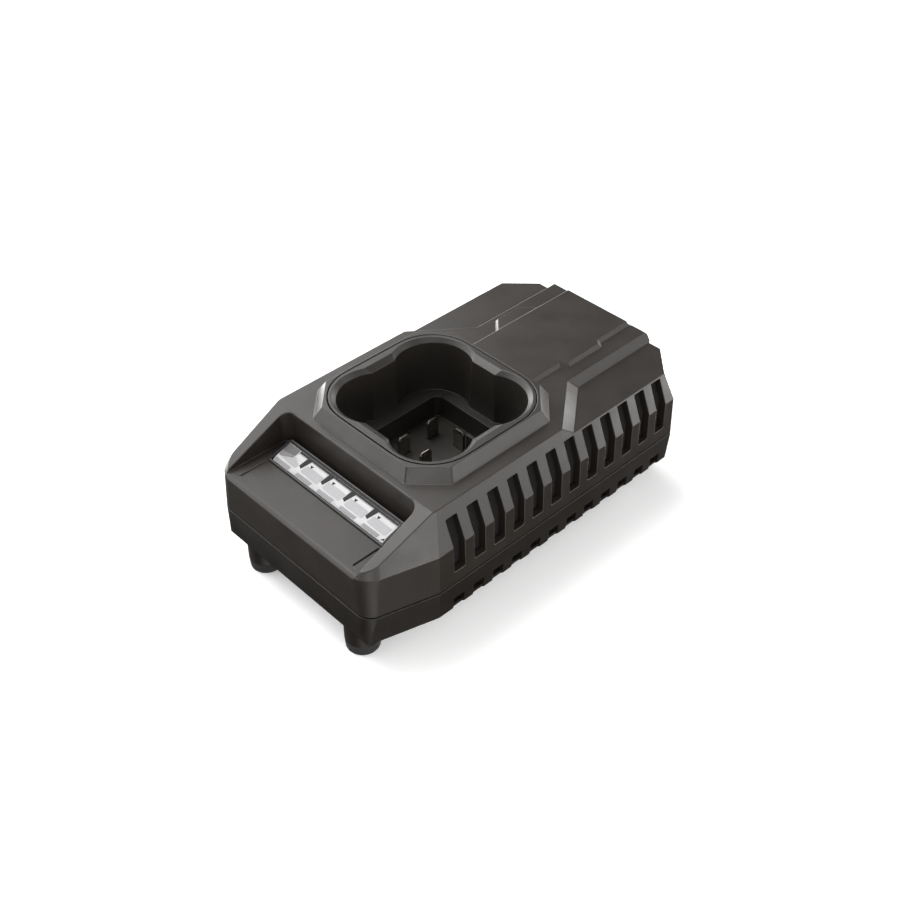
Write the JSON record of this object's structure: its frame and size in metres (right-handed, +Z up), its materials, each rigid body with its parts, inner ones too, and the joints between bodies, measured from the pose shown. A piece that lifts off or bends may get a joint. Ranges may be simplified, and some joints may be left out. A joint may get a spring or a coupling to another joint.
{
  "type": "power tool battery charger",
  "caption": "Desktop charger for a stem-type tool battery: vented two-shell housing on feet with a four-lobed battery well, blade terminals and a segmented status window.",
  "frame": {"origin": "on the table under the middle of the housing", "axes": "+Z up, -Y towards the end with the status window, +X to the right seen from that end"},
  "size_m": [0.0698, 0.116, 0.0455],
  "materials": {
    "housing": "fine-textured warm grey ABS",
    "base": "fine-textured dark grey ABS",
    "well": "smooth near-black moulding",
    "rubber": "black rubber",
    "lens": "clear moulding",
    "diffuser": "white translucent moulding",
    "black_plastic": "black moulding",
    "contact_metal": "nickel-plated spring brass",
    "pin_metal": "nickel-plated brass",
    "screw_steel": "zinc-plated steel",
    "circuit_board": "green glass-epoxy board",
    "led": "moulded diode packages",
    "ferrite": "ferrite",
    "winding": "taped copper winding",
    "capacitor_blue": "sleeved aluminium can",
    "capacitor_green": "sleeved aluminium can",
    "choke": "shrink-wrapped winding",
    "film_capacitor": "yellow box",
    "fuse_glass": "glass tube",
    "aluminium": "plain aluminium",
    "package": "moulded semiconductor package"
  },
  "bodies": {
    "root": {"upper_shell": "housing", "lower_shell": "base", "battery_well": "well", "contact_block": "black_plastic", "terminal_front_left": "contact_metal", "terminal_front_middle": "contact_metal", "terminal_front_right": "contact_metal", "terminal_rear_left": "contact_metal", "terminal_rear_middle": "contact_metal", "terminal_rear_right": "contact_metal", "status_bezel": "housing", "status_lens": "lens", "status_diffuser": "diffuser", "light_box": "black_plastic", "led_board": "circuit_board", "status_leds": "led", "led_header": "contact_metal", "main_board": "circuit_board", "transformer_core": "ferrite", "transformer_winding": "winding", "mains_capacitor": "capacitor_blue", "output_capacitors": "capacitor_green", "choke": "choke", "line_filter_capacitor": "film_capacitor", "fuse": "fuse_glass", "bridge_rectifier": "package", "switching_transistor": "package", "output_diode": "package", "primary_heatsink": "aluminium", "output_heatsink": "aluminium", "optocoupler": "package", "charge_controller": "package", "mains_inlet": "black_plastic", "inlet_pins": "pin_metal", "foot_front_left": "rubber", "foot_front_right": "rubber", "foot_rear_left": "rubber", "foot_rear_right": "rubber", "case_screws": "screw_steel", "board_screws": "screw_steel"}
  },
  "joints": []
}
